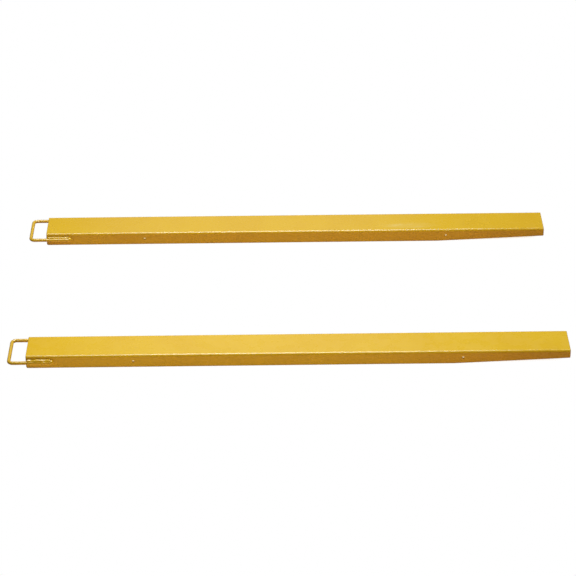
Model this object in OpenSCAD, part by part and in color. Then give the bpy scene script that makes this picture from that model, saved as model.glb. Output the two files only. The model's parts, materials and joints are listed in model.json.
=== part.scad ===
// Pair of slip-on fork extension sleeves. Each sleeve is a bent plate channel with a round bar
// heel loop welded to its flanges and a plate that closes the toe.
// X runs along the sleeves from heel to toe, Y across the pair, Z up. The origin is on the
// floor, under the middle of the pair's overall box. The +Y sleeve is the left one.

/* [Sleeve] */
// Length of the channel from heel to toe
sleeve_length = 1829; // [1200:1:2500]
// Width across the outside of the flanges
sleeve_width = 124.3; // [100:0.1:180]
// Height from the flange edges to the top of the deck
sleeve_height = 47; // [44:0.5:80]
// Thickness of the bent plate
plate_thickness = 5; // [4:0.5:8]
// Inside radius of the two bends
bend_radius = 3; // [2:0.5:6]

/* [Toe taper] */
// Height left at the toe
toe_height = 30; // [24:0.5:40]
// Length over which the flanges taper up to the toe
taper_length = 390; // [200:5:600]
// Radius of the flanges' lower corner at the toe
toe_corner_radius = 3; // [1:0.5:5]
// Radius of the flanges' lower corner at the heel
heel_corner_radius = 6; // [1:0.5:10]

/* [Flange holes] */
// Diameter of the holes through the flanges
hole_diameter = 8; // [6:0.5:14]
// Distance of each hole from the nearer end of the channel
hole_end_distance = 360; // [150:5:500]
// Height of the holes above the flange edges
hole_height = 23.5; // [18:0.5:30]

/* [Heel loop] */
// Diameter of the round bar
bar_diameter = 12; // [8:0.5:14]
// Distance from the heel to the centre line of the loop's cross bar
loop_reach = 58; // [50:1:90]
// Height of the bar's centre line above the flange edges
bar_height = 25; // [20:0.2:30]
// Radius of the bar's centre line at the loop's corners
loop_corner_radius = 14.5; // [12:0.5:25]
// Length of each leg that lies along its flange
leg_overlap = 85; // [50:1:150]

/* [Welds] */
// Radius of the face of the beads along the legs
bead_radius = 4.6; // [3.5:0.1:5]
// Distance from the heel to the start of those beads
bead_start = 4; // [2:1:15]
// Length of the wrap at the end of each leg
end_wrap = 6; // [4:0.5:12]
// Radius of the blob over the end of each leg
blob_radius = 8.5; // [6:0.5:9]

/* [Toe plate] */
// Thickness of the toe plate
toe_plate_thickness = 5; // [4:0.5:8]
// Depth of the toe plate's face inside the toe, which is also the leg of its weld
toe_plate_recess = 4; // [3:0.5:6]
// Height of the toe plate's lower edge above the flanges' tapered edge
toe_plate_lift = 1; // [0.5:0.5:4]

/* [Pair] */
// Distance between the centre lines of the two sleeves
fork_spacing = 800; // [160:5:940]

/* [Hidden] */
$fn = 64;

plate_colour = [0.89, 0.74, 0.24];
bar_colour = [0.80, 0.65, 0.24];
weld_colour = [0.93, 0.79, 0.36];

cut = 1;                                  // how far a cutting solid runs past what it cuts
outer_bend_radius = bend_radius + plate_thickness;
half_width = sleeve_width / 2;
inner_half_width = half_width - plate_thickness;
pocket_height = sleeve_height - plate_thickness;
toe_rise = sleeve_height - toe_height;    // height of the flanges' edge at the toe
taper_start = sleeve_length - taper_length;
taper_angle = atan2(toe_rise, taper_length);
bar_radius = bar_diameter / 2;
leg_y = half_width + bar_radius;          // centre line of a leg, resting on its flange
heel_x = (loop_reach + bar_radius - sleeve_length) / 2;
bead_end = leg_overlap - end_wrap;
toe_plate_face = sleeve_length - toe_plate_recess;
arc_steps = 8;                            // straight steps in each rounded flange corner
bead_offset_y = 1.6;                      // bead's centre from the flange face
bead_offset_z = 5.8;                      // bead's centre from the bar's centre line
blob_offset_y = 2.4;                      // blob's centre from the flange face
nose_flat = 0.2;                          // cut off the blob's nose

// ---- Placing ----

// Carries a sleeve, drawn with its heel at X = 0 and its outer flange at +Y, to the left place
module left_place() {
    translate([heel_x, fork_spacing / 2, 0]) children();
}

// The right sleeve is the left one's mirror image, so its outer flange is at -Y
module right_place() {
    mirror([0, 1, 0]) left_place() children();
}

// Extrudes an outline drawn in Y and Z along X, from x0 over a length
module along_x(x0, length) {
    translate([x0, 0, 0]) rotate([90, 0, 90]) linear_extrude(length) children();
}

// ---- Channel ----

// A rectangle with its two upper corners rounded, standing a little below the flange edges
module arch(half_w, height, radius, foot) {
    translate([-half_w, -foot]) square([2 * half_w, height - radius + foot]);
    translate([-half_w + radius, -foot]) square([2 * (half_w - radius), height + foot]);
    for (side = [-1, 1]) translate([side * (half_w - radius), height - radius]) circle(radius);
}

module pocket_outline() {
    arch(inner_half_width, pocket_height, bend_radius, 2 * cut);
}

module channel_section() {
    difference() {
        arch(half_width, sleeve_height, outer_bend_radius, cut);
        pocket_outline();
    }
}

// Points of a circle's arc between two angles
function arc(centre, radius, start, end) =
    [for (i = [0 : arc_steps]) let (a = start + (end - start) * i / arc_steps)
        centre + radius * [cos(a), sin(a)]];

// A sleeve from the side, drawn in X and Z: both lower corners rounded, the edge rising to the toe
module side_outline() {
    heel_centre = [heel_corner_radius, heel_corner_radius];
    toe_centre = [
        sleeve_length - toe_corner_radius,
        toe_rise + toe_corner_radius * (1 / cos(taper_angle) - tan(taper_angle))
    ];
    polygon(concat(
        arc(heel_centre, heel_corner_radius, 180, 270),
        [[taper_start, 0]],
        arc(toe_centre, toe_corner_radius, 270 + taper_angle, 360),
        [[sleeve_length, sleeve_height + cut], [0, sleeve_height + cut]]
    ));
}

module channel() {
    difference() {
        intersection() {
            along_x(0, sleeve_length) channel_section();
            rotate([90, 0, 0])
                linear_extrude(sleeve_width + 2 * cut, center = true) side_outline();
        }
        for (x = [hole_end_distance, sleeve_length - hole_end_distance])
            translate([x, 0, hole_height]) rotate([90, 0, 0])
                cylinder(h = sleeve_width + 2 * cut, d = hole_diameter, center = true);
    }
}

// ---- Heel loop ----

module loop_corner() {
    translate([loop_corner_radius - loop_reach, leg_y - loop_corner_radius, bar_height])
        rotate([0, 0, 90]) rotate_extrude(angle = 90)
            translate([loop_corner_radius, 0]) circle(bar_radius);
}

module loop_leg() {
    leg_from = loop_corner_radius - loop_reach;
    translate([leg_from, leg_y, bar_height]) rotate([0, 90, 0])
        cylinder(h = leg_overlap - leg_from, r = bar_radius);
}

module heel_loop() {
    loop_leg();
    loop_corner();
    mirror([0, 1, 0]) {
        loop_leg();
        loop_corner();
    }
    translate([-loop_reach, 0, bar_height]) rotate([90, 0, 0])
        cylinder(h = 2 * (leg_y - loop_corner_radius), r = bar_radius, center = true);
}

// ---- Welds on the legs, drawn on the +Y flange ----

// Section of the bead above a leg, drawn in Y and Z
module bead_section() {
    difference() {
        translate([half_width + bead_offset_y, bar_height + bead_offset_z]) circle(bead_radius);
        translate([leg_y, bar_height]) circle(bar_radius);
        translate([0, 0]) square([half_width, sleeve_height]);
    }
}

// The same bead mirrored to lie under the leg
module bead_section_below() {
    translate([0, 2 * bar_height]) mirror([0, 1]) bead_section();
}

module top_weld() {
    along_x(bead_start, bead_end - bead_start) bead_section();
}

module bottom_weld() {
    along_x(bead_start, bead_end - bead_start) bead_section_below();
}

// The blob's outer face: half a ball beyond the wrap's start, its nose cut flat
module blob() {
    intersection() {
        translate([leg_overlap, half_width + blob_offset_y, bar_height]) rotate([0, 90, 0])
            sphere(blob_radius);
        translate([bead_end, half_width, 0])
            cube([end_wrap + blob_radius - nose_flat, sleeve_width, sleeve_height]);
    }
}

module end_weld() {
    along_x(bead_end, end_wrap) bead_section();
    along_x(bead_end, end_wrap) bead_section_below();
    difference() {
        blob();
        translate([bead_end - cut, leg_y, bar_height]) rotate([0, 90, 0])
            cylinder(h = end_wrap + cut, r = bar_radius);
    }
}

// ---- Toe ----

// The pocket's outline above the flanges' edge at the toe
module toe_outline() {
    low = toe_rise + toe_plate_lift;
    intersection() {
        pocket_outline();
        translate([-inner_half_width, low]) square([2 * inner_half_width, pocket_height - low]);
    }
}

module toe_plate() {
    along_x(toe_plate_face - toe_plate_thickness, toe_plate_thickness) toe_outline();
}

// A quarter-round bead up both flanges and across under the deck
module toe_weld() {
    intersection() {
        along_x(toe_plate_face, toe_plate_recess) toe_outline();
        union() {
            for (side = [-1, 1]) translate([toe_plate_face, side * inner_half_width, 0])
                cylinder(h = sleeve_height, r = toe_plate_recess);
            translate([toe_plate_face, 0, pocket_height]) rotate([90, 0, 0])
                cylinder(h = sleeve_width, r = toe_plate_recess, center = true);
        }
    }
}

// ---- Named pieces ----

module left_channel() color(plate_colour) left_place() channel();
module left_heel_loop() color(bar_colour) left_place() heel_loop();
module left_toe_plate() color(plate_colour) left_place() toe_plate();
module left_toe_weld() color(weld_colour) left_place() toe_weld();
module left_outer_top_weld() color(weld_colour) left_place() top_weld();
module left_outer_bottom_weld() color(weld_colour) left_place() bottom_weld();
module left_outer_end_weld() color(weld_colour) left_place() end_weld();
module left_inner_top_weld() color(weld_colour) left_place() mirror([0, 1, 0]) top_weld();
module left_inner_bottom_weld() color(weld_colour) left_place() mirror([0, 1, 0]) bottom_weld();
module left_inner_end_weld() color(weld_colour) left_place() mirror([0, 1, 0]) end_weld();

module right_channel() color(plate_colour) right_place() channel();
module right_heel_loop() color(bar_colour) right_place() heel_loop();
module right_toe_plate() color(plate_colour) right_place() toe_plate();
module right_toe_weld() color(weld_colour) right_place() toe_weld();
module right_outer_top_weld() color(weld_colour) right_place() top_weld();
module right_outer_bottom_weld() color(weld_colour) right_place() bottom_weld();
module right_outer_end_weld() color(weld_colour) right_place() end_weld();
module right_inner_top_weld() color(weld_colour) right_place() mirror([0, 1, 0]) top_weld();
module right_inner_bottom_weld() color(weld_colour) right_place() mirror([0, 1, 0]) bottom_weld();
module right_inner_end_weld() color(weld_colour) right_place() mirror([0, 1, 0]) end_weld();

left_channel();
left_heel_loop();
left_toe_plate();
left_toe_weld();
left_outer_top_weld();
left_outer_bottom_weld();
left_outer_end_weld();
left_inner_top_weld();
left_inner_bottom_weld();
left_inner_end_weld();
right_channel();
right_heel_loop();
right_toe_plate();
right_toe_weld();
right_outer_top_weld();
right_outer_bottom_weld();
right_outer_end_weld();
right_inner_top_weld();
right_inner_bottom_weld();
right_inner_end_weld();
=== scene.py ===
"""A pair of powder coated fork extension sleeves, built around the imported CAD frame.

Metres throughout. X runs from heel to toe, Y across the pair, Z up from the floor. Each sleeve is
a bent plate channel, a round bar heel loop, the weld beads that hold the loop, and a toe plate.
"""

import json
import math

import bpy
import numpy as np
from mathutils import Matrix, Vector, noise


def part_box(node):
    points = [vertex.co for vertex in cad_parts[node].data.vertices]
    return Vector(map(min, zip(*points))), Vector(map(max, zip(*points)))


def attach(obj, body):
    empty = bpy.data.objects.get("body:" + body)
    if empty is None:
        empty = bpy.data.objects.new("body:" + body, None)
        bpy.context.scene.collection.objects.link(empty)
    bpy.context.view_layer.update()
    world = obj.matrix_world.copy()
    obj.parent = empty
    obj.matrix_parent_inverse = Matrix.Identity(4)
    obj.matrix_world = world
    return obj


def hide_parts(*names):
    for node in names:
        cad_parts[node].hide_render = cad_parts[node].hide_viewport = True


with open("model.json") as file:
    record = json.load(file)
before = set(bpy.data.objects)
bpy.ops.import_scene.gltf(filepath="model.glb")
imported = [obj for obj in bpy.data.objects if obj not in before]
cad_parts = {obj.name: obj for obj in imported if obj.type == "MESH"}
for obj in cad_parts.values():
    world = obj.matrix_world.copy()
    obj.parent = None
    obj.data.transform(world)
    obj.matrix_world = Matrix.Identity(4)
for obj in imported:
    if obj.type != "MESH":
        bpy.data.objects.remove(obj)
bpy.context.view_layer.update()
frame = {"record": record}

MM = 0.001

# ---- Sizes, read off the CAD frame ----

CHANNEL_LOW, CHANNEL_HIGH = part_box("left_channel")
LOOP_LOW, LOOP_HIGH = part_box("left_heel_loop")
TOE_LOW, TOE_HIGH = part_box("left_toe_plate")

HEEL_X = CHANNEL_LOW.x
LENGTH = CHANNEL_HIGH.x - CHANNEL_LOW.x
HEIGHT = CHANNEL_HIGH.z
HALF_WIDTH = (CHANNEL_HIGH.y - CHANNEL_LOW.y) / 2
SLEEVE_Y = (CHANNEL_HIGH.y + CHANNEL_LOW.y) / 2
PLATE = HALF_WIDTH - (TOE_HIGH.y - TOE_LOW.y) / 2
BAR_RADIUS = (LOOP_HIGH.z - LOOP_LOW.z) / 2
BAR_Z = (LOOP_HIGH.z + LOOP_LOW.z) / 2
LOOP_REACH = HEEL_X - LOOP_LOW.x - BAR_RADIUS
LEG_END = LOOP_HIGH.x - HEEL_X
TOE_FACE = TOE_HIGH.x - HEEL_X
TOE_PLATE = TOE_HIGH.x - TOE_LOW.x
LEG_Y = HALF_WIDTH + BAR_RADIUS

HOLES = next(m for m in frame["record"]["mounts"] if m["name"] == "left_outer_holes")
HOLE_RADIUS = HOLES["dims"]["hole_r_mm"] * MM
HOLE_Z = HOLES["pos_m"][2]
HOLE_X = [HOLES["pos_m"][0] - HEEL_X + side * HOLES["dims"]["spacing_x_mm"] * MM / 2
          for side in (-1, 1)]

# ---- Sizes that the boxes don't hold ----

OUTER_BEND = 8 * MM
HEEL_CORNER = 6 * MM
TOE_CORNER = 3 * MM
TAPER_LENGTH = 390 * MM
TOE_RISE = 17 * MM
LOOP_CORNER = 14.5 * MM
EDGE_RADIUS = 1.2 * MM         # rounding of the plate's cut edges
HOLE_LIP = 0.7 * MM            # rounding of the holes' rims
BAR_END_ROUNDING = 0.8 * MM
TOE_LIFT = 1 * MM              # gap between the toe plate and the flanges' lower edge
TOE_PLATE_ROUNDING = 0.6 * MM
INNER_BEND = OUTER_BEND - PLATE

# ---- Small helpers ----


def lerp(a, b, t):
    return a + (b - a) * t


def smooth_noise(x, y, z, scale):
    """Noise between -1 and 1 with features about scale metres across."""
    return noise.noise(Vector((x, y, z)) / scale)


def new_piece(name, verts, faces, material, body, nodes, edge=None):
    """A smooth shaded mesh that rides on a body and stands for CAD nodes."""
    mesh = bpy.data.meshes.new(name)
    mesh.from_pydata([tuple(v) for v in verts], [], [tuple(f) for f in faces])
    mesh.validate()
    mesh.update()
    mesh.shade_smooth()
    if edge is not None:
        layer = mesh.attributes.new("edge", "FLOAT", "POINT")
        layer.data.foreach_set("value", np.asarray(edge, np.float32))
    mesh.materials.append(material)
    piece = bpy.data.objects.new(name, mesh)
    bpy.context.scene.collection.objects.link(piece)
    weighted = piece.modifiers.new("flat_faces_stay_flat", "WEIGHTED_NORMAL")
    weighted.mode = "FACE_AREA"
    weighted.weight = 100
    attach(piece, body)
    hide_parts(*nodes)


def bridge(faces, ring_a, ring_b, closed=False):
    """Quads between two rows of vertex numbers."""
    count = len(ring_a)
    last = count if closed else count - 1
    for i in range(last):
        j = (i + 1) % count
        faces.append((ring_a[i], ring_a[j], ring_b[j], ring_b[i]))


# ---- Channel ----

FLANGE_BANDS = (14.0 * MM, 33.0 * MM)    # heights between which the flange has the holes' rows
HOLE_PATCH = 9.5 * MM                    # half the length of the square patch round a hole
PATCH_CELLS = 12
OUTER_ROWS = 3                           # rows of the flange below, and above, the holes' rows
BEND_STEPS = 12
CORNER_STEPS = 6
EDGE_STEPS = 4
DECK_EDGE_ROW = 1.0 * MM                 # first deck row, from the end of the bend
DECK_ROWS_FROM = 6 * MM                  # the even deck rows start here
STATION_GAP = 14 * MM                    # spacing of the stations along the plate
CORNER_GAP = 2 * MM                      # first and last station, from the corners
TAPER_BLEND = 3 * MM                     # stations either side of the taper's start
BROAD_WAVE = (0.10 * MM, 0.21)           # waviness of the plate: (half its depth, length)
FINE_WAVE = (0.02 * MM, 0.06)
HOLE_FLAT = 2.2 * MM                     # how far the flat ring round a hole reaches


def flange_rows():
    """Row heights as shares of the way from the flange's edge to the bend."""
    bend_z = HEIGHT - OUTER_BEND
    low, high = (b / bend_z for b in FLANGE_BANDS)
    return np.concatenate([
        np.linspace(0, low, OUTER_ROWS + 1)[:-1],
        np.linspace(low, high, PATCH_CELLS + 1)[:-1],
        np.linspace(high, 1, OUTER_ROWS + 1),
    ])


def channel_rows():
    """Rows across the plate from the -Y flange's edge over the deck to the +Y flange's edge.

    Each row is (kind, value, outward normal): a flange row's value is its share of the flange,
    and any other row's is its place on the section's outer outline."""
    shares = flange_rows()
    bend_y = HALF_WIDTH - OUTER_BEND
    bend_z = HEIGHT - OUTER_BEND
    half = [("flange", share, (-1.0, 0.0)) for share in shares]
    for k in range(1, BEND_STEPS + 1):
        a = math.radians(90 * k / BEND_STEPS)
        n = (-math.cos(a), math.sin(a))
        half.append(("point", (-bend_y + OUTER_BEND * n[0], bend_z + OUTER_BEND * n[1]), n))
    even = np.linspace(-bend_y + DECK_ROWS_FROM, 0, 8)
    inner = np.concatenate([[-bend_y + DECK_EDGE_ROW], even])
    half += [("point", (y, HEIGHT), (0.0, 1.0)) for y in inner]
    mirrored = []
    for kind, value, n in half[-2::-1]:
        value = value if kind == "flange" else (-value[0], value[1])
        mirrored.append((kind, value, (-n[0], n[1])))
    return half + mirrored


def channel_outline():
    """The flange's lower outline, inset by the edge radius: stations of (x, z, outward x, z)."""
    taper_angle = math.atan2(TOE_RISE, TAPER_LENGTH)
    taper_start = LENGTH - TAPER_LENGTH
    outline = []
    for k in range(CORNER_STEPS + 1):
        a = math.radians(180 + 90 * k / CORNER_STEPS)
        r = HEEL_CORNER - EDGE_RADIUS
        out = (math.cos(a), math.sin(a))
        outline.append((HEEL_CORNER + r * out[0], HEEL_CORNER + r * out[1], *out))

    toe_centre = (LENGTH - TOE_CORNER,
                  TOE_RISE + TOE_CORNER * (1 / math.cos(taper_angle) - math.tan(taper_angle)))
    toe_from = -math.pi / 2 + taper_angle
    toe = []
    for k in range(CORNER_STEPS + 1):
        a = lerp(toe_from, 0, k / CORNER_STEPS)
        r = TOE_CORNER - EDGE_RADIUS
        out = (math.cos(a), math.sin(a))
        toe.append((toe_centre[0] + r * out[0], toe_centre[1] + r * out[1], *out))

    marks = [outline[-1][0] + CORNER_GAP]
    for x in HOLE_X:
        marks += list(np.linspace(x - HOLE_PATCH, x + HOLE_PATCH, PATCH_CELLS + 1))
    marks += [taper_start - TAPER_BLEND, taper_start, taper_start + TAPER_BLEND]
    marks.append(toe[0][0] - CORNER_GAP)
    marks = sorted(marks)
    xs = [marks[0]]
    for a, b in zip(marks, marks[1:]):
        pieces = max(1, round((b - a) / STATION_GAP))
        xs += list(np.linspace(a, b, pieces + 1)[1:])
    for x in xs:
        if x <= taper_start:
            outline.append((x, EDGE_RADIUS, 0.0, -1.0))
        else:
            rise = (x - taper_start) * math.tan(taper_angle) + EDGE_RADIUS / math.cos(taper_angle)
            outline.append((x, rise, math.sin(taper_angle), -math.cos(taper_angle)))
    return outline + toe


def plate_wave(x, y, z, seed):
    """How far a point of the plate is pulled in by the slight waviness of rolled plate."""
    broad = smooth_noise(x, y, z + seed, BROAD_WAVE[1])
    fine = smooth_noise(x, y, z - seed, FINE_WAVE[1])
    return BROAD_WAVE[0] * (1 + broad) + FINE_WAVE[0] * (1 + fine)


def channel_point(row, station, y0, seed, depth):
    """A point of the plate, that far below its outer face."""
    kind, value, n = row
    x, low = station[0], station[1]
    if kind == "flange":
        side = n[0]
        y, z = side * HALF_WIDTH, lerp(low, HEIGHT - OUTER_BEND, value)
    else:
        y, z = value
    depth = depth + plate_wave(x, y, z, seed)
    return np.array((HEEL_X + x, y0 + y - n[0] * depth, z - n[1] * depth))


def hole_patches(rows, stations):
    """For each hole, the first row and station of its patch, and the hole's place in X."""
    patches = []
    for x in HOLE_X:
        i = min(range(len(stations)), key=lambda k: abs(stations[k][0] - (x - HOLE_PATCH)))
        patches.append((OUTER_ROWS, i, x))
        patches.append((len(rows) - 1 - OUTER_ROWS - PATCH_CELLS, i, x))
    return patches


def patch_rim(first_row, first_station):
    """The grid places round a patch, in order."""
    n = PATCH_CELLS
    rim = [(first_row, first_station + k) for k in range(n)]
    rim += [(first_row + k, first_station + n) for k in range(n)]
    rim += [(first_row + n, first_station + n - k) for k in range(n)]
    rim += [(first_row + n - k, first_station) for k in range(n)]
    return rim


def hole_profile():
    """Rings of a hole from the outer face to the inner: (radius, depth, edge tone)."""
    rings = [(HOLE_RADIUS + HOLE_FLAT, 0, 0), (HOLE_RADIUS + HOLE_LIP + 0.2 * MM, 0, 0.2)]
    for k in range(EDGE_STEPS + 1):
        a = math.radians(90 * k / EDGE_STEPS)
        rings.append((HOLE_RADIUS + HOLE_LIP * (1 - math.sin(a)),
                      HOLE_LIP * (1 - math.cos(a)), 0.8))
    return rings + [(r, PLATE - d, tone) for r, d, tone in rings[::-1]]


def build_channel(name, y0, seed, material, body, nodes):
    rows, stations = channel_rows(), channel_outline()
    verts, faces, edge = [], [], []

    def add(point, tone=0.0):
        verts.append(point)
        edge.append(tone)
        return len(verts) - 1

    def boundary_tone(i, j):
        return 0.6 if i in (0, len(stations) - 1) or j in (0, len(rows) - 1) else 0.0

    sheets = []
    for depth in (0, PLATE):
        sheets.append([[add(channel_point(row, st, y0, seed, depth), boundary_tone(i, j))
                        for j, row in enumerate(rows)] for i, st in enumerate(stations)])

    patches = hole_patches(rows, stations)
    skipped = {(i + a, j + b) for j, i, _ in patches
               for a in range(PATCH_CELLS) for b in range(PATCH_CELLS)}
    for sheet, turned in zip(sheets, (False, True)):
        for i in range(len(stations) - 1):
            for j in range(len(rows) - 1):
                if (i, j) not in skipped:
                    quad = (sheet[i][j], sheet[i + 1][j], sheet[i + 1][j + 1], sheet[i][j + 1])
                    faces.append(quad[::-1] if turned else quad)

    for first_row, first_station, hole_x in patches:
        rim = patch_rim(first_row, first_station)
        side = rows[first_row][2][0]
        outer = [sheets[0][i][j] for j, i in rim]
        inner = [sheets[1][i][j] for j, i in rim]
        wave = plate_wave(hole_x, side * HALF_WIDTH, HOLE_Z, seed)
        rings = [outer]
        for radius, depth, tone in hole_profile():
            ring = []
            for k in range(len(rim)):
                p = verts[outer[k]]
                a = math.atan2(p[2] - HOLE_Z, p[0] - HEEL_X - hole_x)
                y = side * (HALF_WIDTH - depth - wave)
                ring.append(add(np.array((HEEL_X + hole_x + radius * math.cos(a), y0 + y,
                                          HOLE_Z + radius * math.sin(a))), tone))
            rings.append(ring)
        rings.append(inner)
        for a, b in zip(rings, rings[1:]):
            bridge(faces, a, b, closed=True)

    # the rounded cut edge all round the plate
    last_i, last_j = len(stations) - 1, len(rows) - 1
    loop = [(0, j) for j in range(last_j)]
    loop += [(i, last_j) for i in range(last_i)]
    loop += [(last_i, last_j - j) for j in range(last_j)]
    loop += [(last_i - i, 0) for i in range(last_i)]
    rim_rings = [[sheets[0][i][j] for i, j in loop]]
    profile = []
    for k in range(1, EDGE_STEPS + 1):
        a = math.radians(90 * k / EDGE_STEPS)
        profile.append((EDGE_RADIUS * math.sin(a), EDGE_RADIUS * (1 - math.cos(a))))
    profile += [(out, PLATE - depth) for out, depth in profile[::-1]]
    for out, depth in profile:
        ring = []
        for i, j in loop:
            p = channel_point(rows[j], stations[i], y0, seed, depth)
            if j in (0, last_j):
                direction = np.array((stations[i][2], 0.0, stations[i][3]))
            else:
                direction = np.array((-1.0 if i == 0 else 1.0, 0.0, 0.0))
            ring.append(add(p + direction * out, 1.0))
        rim_rings.append(ring)
    rim_rings.append([sheets[1][i][j] for i, j in loop])
    for a, b in zip(rim_rings, rim_rings[1:]):
        bridge(faces, a, b, closed=True)
    new_piece(name, verts, faces, material, body, nodes, edge)


# ---- Heel loop ----

BAR_SEGMENTS = 32
BAR_CORNER_STEPS = 14
BAR_DENT = 0.03 * MM


def loop_path():
    """Centre line of the bar in a sleeve's own X and Y: (point, direction)."""
    corner_x = LOOP_CORNER - LOOP_REACH
    corner_y = LEG_Y - LOOP_CORNER
    half = [((x, LEG_Y), (-1.0, 0.0)) for x in np.linspace(LEG_END, corner_x, 24)]
    for k in range(1, BAR_CORNER_STEPS + 1):
        a = math.radians(90 + 90 * k / BAR_CORNER_STEPS)
        out = (math.cos(a), math.sin(a))
        half.append(((corner_x + LOOP_CORNER * out[0], corner_y + LOOP_CORNER * out[1]),
                     (-out[1], out[0])))
    middle = [((-LOOP_REACH, y), (0.0, -1.0)) for y in np.linspace(corner_y, -corner_y, 16)[1:-1]]
    mirrored = [((x, -y), (-dx, dy)) for (x, y), (dx, dy) in half[::-1]]
    return half + middle + mirrored


def end_rounding(radius, chamfer, steps=4):
    """Rings of a bar's rounded end from the full bar to the flat: (setback, ring radius)."""
    rings = []
    for k in range(steps + 1):
        a = math.radians(90 * k / steps)
        rings.append((chamfer * (1 - math.sin(a)), radius - chamfer * (1 - math.cos(a))))
    return rings


def build_loop(name, y0, seed, material, body, nodes):
    path = loop_path()
    rounding = end_rounding(BAR_RADIUS, BAR_END_ROUNDING)
    (start, start_dir), (finish, finish_dir) = path[0], path[-1]
    rings = []
    for setback, radius in rounding[::-1]:
        rings.append(((start[0] + start_dir[0] * setback, start[1]), start_dir, radius))
    for point, direction in path[1:-1]:
        rings.append((point, direction, BAR_RADIUS))
    for setback, radius in rounding:
        rings.append(((finish[0] - finish_dir[0] * setback, finish[1]), finish_dir, radius))

    verts, faces, numbers = [], [], []
    for (x, y), (dx, dy), radius in rings:
        ring = []
        for k in range(BAR_SEGMENTS):
            a = 2 * math.pi * k / BAR_SEGMENTS
            dent = BAR_DENT * (1 + smooth_noise(x, y + seed, a * 0.01, 0.018))
            across, up = (radius - dent) * math.cos(a), (radius - dent) * math.sin(a)
            ring.append(len(verts))
            verts.append((HEEL_X + x - dy * across, y0 + y + dx * across, BAR_Z + up))
        numbers.append(ring)
    for a, b in zip(numbers, numbers[1:]):
        bridge(faces, a, b, closed=True)
    faces.append(tuple(numbers[0]))
    faces.append(tuple(numbers[-1][::-1]))
    new_piece(name, verts, faces, material, body, nodes)


# ---- Weld beads ----

BEAD_STEPS = 12
LEG_STATIONS = 210
TOE_STATIONS = 420
BEAD_TAPER = 2.5 * MM            # length of a run's rounded ends
BEAD_END = 0.12                  # size of a run's first and last ring, as a share of the full bead
RIPPLE_CURVE = 0.45              # how far a ripple's crescent lags behind at the bead's crown
RIPPLE_JITTER = 0.3              # unevenness of the ripples' spacing, in ripples
BEAD_SINK = 0.35 * MM            # how far a leg bead's hidden side lies in the metal
TOE_SINK = 0.3 * MM
TOE_BEAD_MARGIN = 0.7 * MM       # keeps the toe bead's bulge inside the channel's length
TOE_ROOT = 0.4 * MM              # the toe bead's root, from the corner that it fills
LEG_ROOT = (0.9 * MM, 3.0 * MM)  # a leg bead's root: out from the flange, up from the bar's centre
LEG_BEAD_START = 3.5 * MM        # from the heel
LEG_BEAD_END = 2 * MM            # short of the leg's end
LEG_ROLL = 0.08                  # how far the bead's edge climbs and drops on the bar, in radians
HIDDEN_DEPTH = 0.05              # how far the ring closes behind its root, as a share of its height
BLOB_AROUND = 40
BLOB_ALONG = 28
BLOB_SETBACK = 0.5 * MM          # the blob's centre: short of the leg's end,
BLOB_OUT = 3.6 * MM              # out from the flange,
BLOB_LIFT = 0.9 * MM             # and, on a rough weld, above the bar's centre
BLOB_SIZE = (7.6 * MM, 8.1 * MM, 8.3 * MM)
BLOB_LUMP = 0.10
BLOB_RIPPLE = 0.025


class BeadStyle:
    """How a weld run was laid: its ripples, how uneven it is, and how far it reaches."""

    def __init__(self, pitch, ripple, lump, lump_length, wander, bulge, flange_leg, bar_angle):
        self.pitch, self.ripple = pitch, ripple
        self.lump, self.lump_length = lump, lump_length
        self.wander, self.bulge = wander, bulge
        self.flange_leg, self.bar_angle = flange_leg, bar_angle


NEAT = BeadStyle(pitch=2.8 * MM, ripple=0.20 * MM, lump=0.25 * MM, lump_length=11 * MM,
                 wander=0.35 * MM, bulge=1.75 * MM, flange_leg=10.2 * MM, bar_angle=0)
ROUGH = BeadStyle(pitch=3.6 * MM, ripple=0.24 * MM, lump=3.6 * MM, lump_length=19 * MM,
                  wander=1.6 * MM, bulge=2.0 * MM, flange_leg=10.6 * MM, bar_angle=34)


def ripple_height(phase):
    """One scallop of a weld's ripple, from 0 in the groove to 1 on the crest."""
    return abs(math.sin(math.pi * phase)) ** 0.6


def build_bead(name, stations, style, seed, material, body, nodes):
    """A rippled bead over stations of (distance, root, toe_a, toe_b), with rounded ends."""
    total = stations[-1][0]
    verts, faces, rings = [], [], []
    for s, root, toe_a, toe_b in stations:
        wander = style.wander * smooth_noise(s, seed, 0.0, style.lump_length)
        lump = style.lump * smooth_noise(s, seed + 3, 0.02, style.lump_length)
        near_end = min(s, total - s)
        short_of_full = max(0.0, 1 - near_end / BEAD_TAPER)
        swell = max(BEAD_END, math.sqrt(max(0.0, 1 - short_of_full ** 2)))
        a = root + (toe_a - root) * (1 + wander / np.linalg.norm(toe_a - root))
        chord = toe_b - a
        middle = (a + toe_b) / 2
        out = middle - root
        out = out - chord * (np.dot(out, chord) / np.dot(chord, chord))
        out = out / np.linalg.norm(out)
        ring = []
        for k in range(BEAD_STEPS + 1):
            t = k / BEAD_STEPS
            crown = 4 * t * (1 - t)
            jitter = RIPPLE_JITTER * smooth_noise(s, seed, t, 0.01)
            phase = s / style.pitch + RIPPLE_CURVE * crown + jitter
            ripple = style.ripple * ripple_height(phase)
            rise = crown * (style.bulge + lump) + ripple * crown ** 0.5
            p = a + chord * t + out * rise
            p = root + (p - root) * swell
            ring.append(len(verts))
            verts.append(p)
        ring.append(len(verts))
        verts.append(root + (root - middle) * HIDDEN_DEPTH)
        rings.append(ring)
    for a, b in zip(rings, rings[1:]):
        bridge(faces, a, b, closed=True)
    faces.append(tuple(rings[0][::-1]))
    faces.append(tuple(rings[-1]))
    new_piece(name, verts, faces, material, body, nodes)


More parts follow.
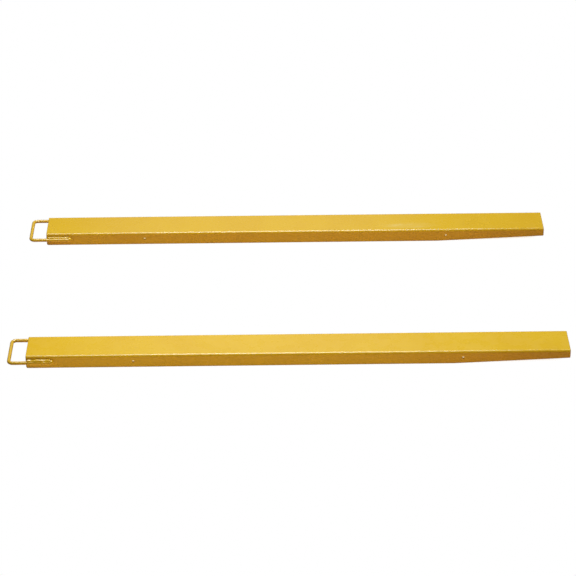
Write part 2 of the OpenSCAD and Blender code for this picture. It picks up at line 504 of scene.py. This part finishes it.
def leg_bead(name, y0, side, above, style, seed, material, body, nodes):
    """The bead along the top or bottom of a leg, from the flange's face on to the bar."""
    start, finish = LEG_BEAD_START, LEG_END - LEG_BEAD_END
    bar_angle = math.radians(style.bar_angle)
    stations = []
    for x in np.linspace(start, finish, LEG_STATIONS):
        roll = LEG_ROLL * smooth_noise(x, seed + 7, 0, 0.014) * style.wander / NEAT.wander
        reach = (BAR_RADIUS + math.sin(bar_angle + roll) * (BAR_RADIUS - BEAD_SINK),
                 math.cos(bar_angle + roll) * (BAR_RADIUS - BEAD_SINK))

        def place(out, up):
            return np.array((HEEL_X + x, y0 + side * (HALF_WIDTH + out), BAR_Z + above * up))

        stations.append((x - start, place(*LEG_ROOT),
                         place(-BEAD_SINK, style.flange_leg), place(*reach)))
    build_bead(name, stations, style, seed, material, body, nodes)


def end_blob(name, y0, side, style, seed, material, body, nodes):
    """The lump that wraps the end of a leg, cut off at the flange and at the bar's far side."""
    centre = np.array((LEG_END - BLOB_SETBACK, BLOB_OUT, BLOB_LIFT * style.lump / ROUGH.lump))
    size = np.array(BLOB_SIZE)
    verts, faces, rings = [], [], []
    for j in range(1, BLOB_ALONG):
        polar = math.pi * j / BLOB_ALONG
        ring = []
        for k in range(BLOB_AROUND):
            a = 2 * math.pi * k / BLOB_AROUND
            d = np.array((math.cos(polar), math.sin(polar) * math.cos(a),
                          math.sin(polar) * math.sin(a)))
            lump = 1 + BLOB_LUMP * style.lump / ROUGH.lump * smooth_noise(*(d * 3), 1.0 + seed)
            lump -= BLOB_RIPPLE * (1 - ripple_height(2.5 * polar + 0.2 * math.sin(a + seed)))
            p = centre + d * size * lump
            p[1] = min(max(p[1], -0.8 * MM), 2 * BAR_RADIUS - 0.15 * MM)
            ring.append(len(verts))
            verts.append((HEEL_X + p[0], y0 + side * (HALF_WIDTH + p[1]), BAR_Z + p[2]))
        rings.append(ring)
    for a, b in zip(rings, rings[1:]):
        bridge(faces, a, b, closed=True)
    faces.append(tuple(rings[0][::-1]))
    faces.append(tuple(rings[-1]))
    new_piece(name, verts, faces, material, body, nodes)


# ---- Toe ----

FOOT_ROWS = 7                  # rows up each side of the arch, below its corner


def toe_arch(inset, corner_steps=6):
    """The pocket's outline above the toe's edge, inset: an open run from one foot to the other."""
    half = HALF_WIDTH - PLATE - inset
    top = HEIGHT - PLATE - inset
    r = max(INNER_BEND - inset, 0.4 * MM)
    foot = TOE_RISE + TOE_LIFT + inset
    run = [(-half, z) for z in np.linspace(foot, top - r, FOOT_ROWS + 1)[:-1]]
    for k in range(corner_steps + 1):
        a = math.radians(180 - 90 * k / corner_steps)
        run.append((-half + r + r * math.cos(a), top - r + r * math.sin(a)))
    run += [(y, top) for y in np.linspace(-half + r, half - r, 30)[1:-1]]
    return run + [(-y, z) for y, z in run[:FOOT_ROWS + corner_steps + 1][::-1]]


def build_toe_plate(name, y0, material, body, nodes):
    """A plate cut to the pocket's outline, its rim slightly rounded."""
    verts, faces, rings = [], [], []
    profile = []
    for k in range(EDGE_STEPS + 1):
        a = math.radians(90 * k / EDGE_STEPS)
        profile.append((TOE_PLATE_ROUNDING * (1 - math.sin(a)),
                        TOE_PLATE_ROUNDING * (1 - math.cos(a))))
    profile += [(inset, TOE_PLATE - depth) for inset, depth in profile[::-1]]
    for inset, depth in profile:
        ring = []
        for y, z in toe_arch(inset + 0.05 * MM):
            ring.append(len(verts))
            verts.append((HEEL_X + TOE_FACE - depth, y0 + y, z))
        rings.append(ring)
    for a, b in zip(rings, rings[1:]):
        bridge(faces, a, b, closed=True)
    faces.append(tuple(rings[0][::-1]))
    faces.append(tuple(rings[-1]))
    new_piece(name, verts, faces, material, body, nodes)


def toe_bead(name, y0, style, seed, material, body, nodes):
    """The bead round the toe plate's face, up one flange, under the deck and down the other."""
    leg = LENGTH - TOE_FACE - TOE_BEAD_MARGIN
    line = np.array(toe_arch(0.0, corner_steps=8))
    inner = np.array(toe_arch(leg, corner_steps=8))
    lengths = np.concatenate([[0], np.cumsum(np.linalg.norm(np.diff(line, axis=0), axis=1))])
    stations = []
    for s in np.linspace(0, lengths[-1], TOE_STATIONS):
        edge = np.array([np.interp(s, lengths, line[:, k]) for k in (0, 1)])
        face = np.array([np.interp(s, lengths, inner[:, k]) for k in (0, 1)])
        inward = face - edge
        inward = inward / np.linalg.norm(inward)
        root = edge + inward * TOE_ROOT

        def place(forward, yz):
            return np.array((HEEL_X + TOE_FACE + forward, y0 + yz[0], yz[1]))

        stations.append((s, place(TOE_ROOT, root), place(leg, edge - inward * TOE_SINK),
                         place(-TOE_SINK, face)))
    build_bead(name, stations, style, seed, material, body, nodes)


# ---- Materials ----

YELLOW = (0.805, 0.513, 0.010)
DEEP_YELLOW = (0.785, 0.488, 0.008)
FAR_YELLOW = (0.745, 0.468, 0.010)       # the left sleeve's coat is set a shade darker than the right's
FAR_DEEP = (0.725, 0.443, 0.008)
BAR_YELLOW = (0.76, 0.475, 0.022)
THIN_COAT = (0.36, 0.21, 0.035)
RUBBED = (0.86, 0.74, 0.34)
SCUFF = ((0.455, SLEEVE_Y - 0.026, HEIGHT), (0.13, 0.024, 0.02))

# how many features of each kind lie in a metre of the coat
CLOUDS = 7
GLOSS_CLOUDS = 30
EDGE_WEAR = 90
BROAD_PEEL = 130
MOTTLE = 140
SPECKS = 420
FINE_PEEL = 620


def node(tree, kind, **values):
    made = tree.nodes.new(kind)
    for key, value in values.items():
        setattr(made, key, value)
    return made


def noise_node(tree, coords, scale, detail=2.0, rough=0.5):
    made = node(tree, "ShaderNodeTexNoise")
    made.inputs["Scale"].default_value = scale
    made.inputs["Detail"].default_value = detail
    made.inputs["Roughness"].default_value = rough
    tree.links.new(coords, made.inputs["Vector"])
    return made.outputs["Fac"]


def remap(tree, value, from_low, from_high, to_low, to_high):
    made = node(tree, "ShaderNodeMapRange", clamp=True)
    made.interpolation_type = "SMOOTHSTEP"
    for key, number in zip(("From Min", "From Max", "To Min", "To Max"),
                           (from_low, from_high, to_low, to_high)):
        made.inputs[key].default_value = number
    tree.links.new(value, made.inputs["Value"])
    return made.outputs["Result"]


def mix_colour(tree, factor, a, b):
    made = node(tree, "ShaderNodeMix", data_type="RGBA")
    for key, value in (("Factor", factor), ("A", a), ("B", b)):
        sockets = [s for s in made.inputs if s.name == key and s.enabled]
        socket = sockets[-1]
        if isinstance(value, bpy.types.NodeSocket):
            tree.links.new(value, socket)
        else:
            socket.default_value = value
    return [s for s in made.outputs if s.enabled][0]


def grey(level):
    return (level, level, level, 1)


def multiply(tree, a, b):
    made = node(tree, "ShaderNodeMath", operation="MULTIPLY")
    for socket, value in zip(made.inputs, (a, b)):
        if isinstance(value, bpy.types.NodeSocket):
            tree.links.new(value, socket)
        else:
            socket.default_value = value
    return made.outputs[0]


def powder_coat(name, base, deep, roughness, peel, gloss_coat, scuff=None):
    """Satin powder coat: two tones of yellow, thinner and duller at the cut edges, orange peel
    in its gloss, and a few faint marks. gloss_coat is how much clear gloss lies over it, and
    scuff is (centre, half size) of a rubbed patch."""
    material = bpy.data.materials.new(name)
    material.use_nodes = True
    tree = material.node_tree
    shader = tree.nodes["Principled BSDF"]
    coords = node(tree, "ShaderNodeTexCoord").outputs["Object"]

    clouds = remap(tree, noise_node(tree, coords, CLOUDS, 3), 0.35, 0.68, 0.0, 1.0)
    colour = mix_colour(tree, clouds, (*base, 1), (*deep, 1))
    mottle = remap(tree, noise_node(tree, coords, MOTTLE, 3), 0.42, 0.75, 0.0, 0.10)
    colour = mix_colour(tree, mottle, colour, (*deep, 1))

    edge = node(tree, "ShaderNodeAttribute", attribute_name="edge").outputs["Fac"]
    wear = remap(tree, noise_node(tree, coords, EDGE_WEAR, 2), 0.3, 0.6, 0.45, 0.9)
    thin = multiply(tree, edge, wear)
    colour = mix_colour(tree, thin, colour, (*THIN_COAT, 1))

    specks = remap(tree, noise_node(tree, coords, SPECKS, 2), 0.74, 0.82, 0.0, 0.30)
    colour = mix_colour(tree, specks, colour, (*THIN_COAT, 1))

    if scuff:
        centre, half = scuff
        place = node(tree, "ShaderNodeMapping")
        place.vector_type = "TEXTURE"
        place.inputs["Location"].default_value = centre
        place.inputs["Scale"].default_value = half
        tree.links.new(coords, place.inputs["Vector"])
        ball = node(tree, "ShaderNodeTexGradient", gradient_type="SPHERICAL")
        tree.links.new(place.outputs["Vector"], ball.inputs["Vector"])
        streaks = node(tree, "ShaderNodeMapping")
        streaks.inputs["Scale"].default_value = (14, 160, 60)
        tree.links.new(coords, streaks.inputs["Vector"])
        lines = remap(tree, noise_node(tree, streaks.outputs["Vector"], 1.0, 4, 0.6),
                      0.45, 0.70, 0.15, 1.0)
        rub = multiply(tree, remap(tree, ball.outputs["Fac"], 0.0, 0.6, 0.0, 0.42), lines)
        colour = mix_colour(tree, rub, colour, (*RUBBED, 1))
    tree.links.new(colour, shader.inputs["Base Color"])

    gloss = remap(tree, noise_node(tree, coords, GLOSS_CLOUDS, 3), 0.3, 0.7, roughness - 0.03,
                  roughness + 0.05)
    tree.links.new(gloss, shader.inputs["Roughness"])
    shader.inputs["Specular IOR Level"].default_value = 0.6
    shader.inputs["Coat Weight"].default_value = gloss_coat
    shader.inputs["Coat Roughness"].default_value = 0.16

    fine = node(tree, "ShaderNodeBump")
    fine.inputs["Strength"].default_value = peel
    fine.inputs["Distance"].default_value = 0.05 * MM
    tree.links.new(noise_node(tree, coords, FINE_PEEL, 2), fine.inputs["Height"])
    broad = node(tree, "ShaderNodeBump")
    broad.inputs["Strength"].default_value = peel
    broad.inputs["Distance"].default_value = 0.06 * MM
    tree.links.new(noise_node(tree, coords, BROAD_PEEL, 2), broad.inputs["Height"])
    tree.links.new(fine.outputs["Normal"], broad.inputs["Normal"])
    tree.links.new(broad.outputs["Normal"], shader.inputs["Normal"])
    return material


# ---- Sleeves ----

# the left sleeve is the far one and shows the camera its inner leg; the right shows its outer leg
SLEEVES = (
    {"prefix": "left", "y": SLEEVE_Y, "seed": 1.7, "inner": NEAT, "outer": NEAT},
    {"prefix": "right", "y": -SLEEVE_Y, "seed": 5.3, "inner": NEAT, "outer": ROUGH},
)


def build_sleeve(sleeve, materials):
    prefix, y0, seed = sleeve["prefix"], sleeve["y"], sleeve["seed"]
    body = f"{prefix}_sleeve"
    plate = materials[f"{prefix}_plate"]
    outward = 1 if y0 > 0 else -1
    build_channel(f"{prefix}_bent_channel", y0, seed, plate, body, [f"{prefix}_channel"])
    build_loop(f"{prefix}_bar_loop", y0, seed, materials["bar"], body, [f"{prefix}_heel_loop"])
    build_toe_plate(f"{prefix}_toe_closure", y0, plate, body, [f"{prefix}_toe_plate"])
    toe_bead(f"{prefix}_toe_bead", y0, NEAT, seed + 9, materials["weld"], body,
             [f"{prefix}_toe_weld"])
    for leg, side in (("outer", outward), ("inner", -outward)):
        style = sleeve[leg]
        for part, above in (("top", 1), ("bottom", -1)):
            leg_bead(f"{prefix}_{leg}_{part}_bead", y0, side, above, style,
                     seed + side + 0.5 * above, materials["weld"], body,
                     [f"{prefix}_{leg}_{part}_weld"])
        end_blob(f"{prefix}_{leg}_end_blob", y0, side, style, seed + side, materials["weld"],
                 body, [f"{prefix}_{leg}_end_weld"])


def build_materials():
    return {
        "left_plate": powder_coat("powder_coat_left", FAR_YELLOW, FAR_DEEP,
                                  roughness=0.27, peel=0.10, gloss_coat=0.3, scuff=SCUFF),
        "right_plate": powder_coat("powder_coat_right", YELLOW, DEEP_YELLOW,
                                   roughness=0.27, peel=0.10, gloss_coat=0.3),
        "bar": powder_coat("powder_coat_bar", BAR_YELLOW, DEEP_YELLOW,
                           roughness=0.26, peel=0.06, gloss_coat=0.9),
        "weld": powder_coat("powder_coat_weld", YELLOW, DEEP_YELLOW,
                            roughness=0.22, peel=0.06, gloss_coat=1.0),
    }


# ---- Floor, light and camera ----

PAINTED_UNDER_DECK_GLOW = (0.82, 0.56, 0.20)     # painted bounce light: the floor inside a sleeve glows this warm colour, as if lit by the paint above it
COVER_REACH = 0.25                  # how far up the floor looks for something that covers it
SEEN_FLOOR_Z = -0.0005
TABLE_Z = -0.0010
TABLE = (0.45, 0.32, 0.22)
FAR_GLOW = (0.72, 0.48, 0.13)
NEAR_GLOW = (0.80, 0.61, 0.14)
TOE_GLOW = (0.63, 0.32, 0.05)
GLOW_ACROSS = (0.30, -0.50)         # Y from which, and to which, the far glow turns into the near
GLOW_ALONG = (0.10, 1.00)           # X over which both turn into the toe's glow
HEEL_FADE = (-0.94, -0.84)          # X over which the glow comes up from a tenth at the heel
TOE_FADE = (0.55, 1.10)             # X over which it falls to about half at the toe
ROOM_ABOVE = (0.03, 0.13)           # grey of the room above the horizon: camera's side, far side
ROOM_BELOW = (0.20, 0.04)           # and below it

CAMERA_AIM = (0.002, 0.024, 0.0)
CAMERA_DISTANCE = 7.46
CAMERA_ANGLES = (32.3, 0.32, 0.47)  # elevation, azimuth and roll, in degrees
LENS = 131

# name, place, aim, size, watts
LIGHTS = (
    ("overhead_box", (-0.40, 0.0, 4.0), (-0.30, 0.0, 0.0), (2.0, 2.2), 106),
    ("high_strip", (0.15, 2.0, 4.0), (0.15, -5.0, 0.0), (2.0, 0.6), 116),
    ("back_window", (-0.2, 4.6, 2.9), (-0.1, -0.2, 0.0), (1.9, 1.6), 5),
)


def flat_sheet(name, size, z, material):
    """A square of the floor, twice size across."""
    mesh = bpy.data.meshes.new(name)
    mesh.from_pydata([(-size, -size, z), (size, -size, z), (size, size, z), (-size, size, z)],
                     [], [(0, 1, 2, 3)])
    mesh.materials.append(material)
    sheet = bpy.data.objects.new(name, mesh)
    bpy.context.scene.collection.objects.link(sheet)
    return sheet


def floor_material(name, base):
    """A matt sheet whose glow the caller links."""
    material = bpy.data.materials.new(name)
    material.use_nodes = True
    shader = material.node_tree.nodes["Principled BSDF"]
    shader.inputs["Base Color"].default_value = (*base, 1)
    shader.inputs["Roughness"].default_value = 0.9
    shader.inputs["Specular IOR Level"].default_value = 0.0
    shader.inputs["Emission Strength"].default_value = 1.0
    return material


def build_floor():
    """The white floor that is seen, with a painted warm bounce light set by an ambient occlusion
    node where a sleeve covers it, and just under it the table, which the camera doesn't see and
    whose glow lights the flanges."""
    white = floor_material("studio_white", (0.0, 0.0, 0.0))
    tree = white.node_tree
    cover = node(tree, "ShaderNodeAmbientOcclusion", samples=8)
    cover.inputs["Distance"].default_value = COVER_REACH
    # painted bounce light: where the ambient occlusion node finds the floor covered by a sleeve, the
    # floor glows the warm under-deck colour instead of white
    outside_painted_glow = remap(tree, cover.outputs["AO"], 0.02, 0.12, 0.0, 1.0)
    tree.links.new(mix_colour(tree, outside_painted_glow, (*PAINTED_UNDER_DECK_GLOW, 1), grey(1.0)),
                   tree.nodes["Principled BSDF"].inputs["Emission Color"])
    seen = flat_sheet("studio_floor", 40.0, SEEN_FLOOR_Z, white)
    seen.visible_diffuse = False
    seen.visible_glossy = False
    seen.visible_shadow = False

    warm = floor_material("table_top", TABLE)
    tree = warm.node_tree
    shader = tree.nodes["Principled BSDF"]
    parts = node(tree, "ShaderNodeSeparateXYZ")
    tree.links.new(node(tree, "ShaderNodeTexCoord").outputs["Object"], parts.inputs[0])
    nearer = remap(tree, parts.outputs["Y"], *GLOW_ACROSS, 0.0, 1.0)
    glow = mix_colour(tree, nearer, (*FAR_GLOW, 1), (*NEAR_GLOW, 1))
    toeward = remap(tree, parts.outputs["X"], *GLOW_ALONG, 0.0, 1.0)
    glow = mix_colour(tree, toeward, glow, (*TOE_GLOW, 1))
    heelward = remap(tree, parts.outputs["X"], *HEEL_FADE, 0.10, 1.0)
    toe_fall = remap(tree, parts.outputs["X"], *TOE_FADE, 1.0, 0.55)
    tree.links.new(glow, shader.inputs["Emission Color"])
    tree.links.new(multiply(tree, heelward, toe_fall), shader.inputs["Emission Strength"])
    table = flat_sheet("studio_table", 4.0, TABLE_Z, warm)
    table.visible_camera = False
    table.visible_glossy = False


def area_light(name, place, aim, size, power):
    data = bpy.data.lights.new(name, "AREA")
    data.shape = "RECTANGLE"
    data.size, data.size_y = size
    data.energy = power
    lamp = bpy.data.objects.new(name, data)
    lamp.location = place
    lamp.rotation_euler = (Vector(aim) - Vector(place)).to_track_quat("-Z", "Y").to_euler()
    bpy.context.scene.collection.objects.link(lamp)


def build_light():
    """Soft boxes overhead and behind, and a room that is dark on the camera's side."""
    world = bpy.data.worlds.new("studio")
    bpy.context.scene.world = world
    world.use_nodes = True
    tree = world.node_tree
    background = tree.nodes["Background"]
    direction = node(tree, "ShaderNodeTexCoord").outputs["Generated"]
    parts = node(tree, "ShaderNodeSeparateXYZ")
    tree.links.new(direction, parts.inputs[0])
    backward = remap(tree, parts.outputs["Y"], -0.2, 0.5, 0.0, 1.0)
    above = mix_colour(tree, backward, *(grey(level) for level in ROOM_ABOVE))
    below = mix_colour(tree, backward, *(grey(level) for level in ROOM_BELOW))
    upward = remap(tree, parts.outputs["Z"], -0.25, -0.02, 0.0, 1.0)
    tree.links.new(mix_colour(tree, upward, below, above), background.inputs["Color"])
    for light in LIGHTS:
        area_light(*light)


def build_camera():
    """The viewing angle: a long lens from the front, above the floor, and level to half a degree."""
    elevation, azimuth, roll = (math.radians(a) for a in CAMERA_ANGLES)
    forward = Vector((math.cos(elevation) * math.sin(azimuth),
                      math.cos(elevation) * math.cos(azimuth), -math.sin(elevation)))
    right = Vector((math.cos(azimuth), -math.sin(azimuth), 0.0))
    up = right.cross(forward)
    right_rolled = right * math.cos(roll) - up * math.sin(roll)
    up_rolled = right * math.sin(roll) + up * math.cos(roll)
    data = bpy.data.cameras.new("photo_angle")
    data.lens = LENS
    data.sensor_width = 36
    data.clip_end = 50
    camera = bpy.data.objects.new("photo_angle", data)
    turn = Matrix((right_rolled, up_rolled, -forward)).transposed()
    place = Vector(CAMERA_AIM) - forward * CAMERA_DISTANCE
    camera.matrix_world = Matrix.Translation(place) @ turn.to_4x4()
    bpy.context.scene.collection.objects.link(camera)
    bpy.context.scene.camera = camera


materials = build_materials()
for sleeve in SLEEVES:
    build_sleeve(sleeve, materials)
build_floor()
build_light()
build_camera()
bpy.context.scene.view_settings.view_transform = "Standard"
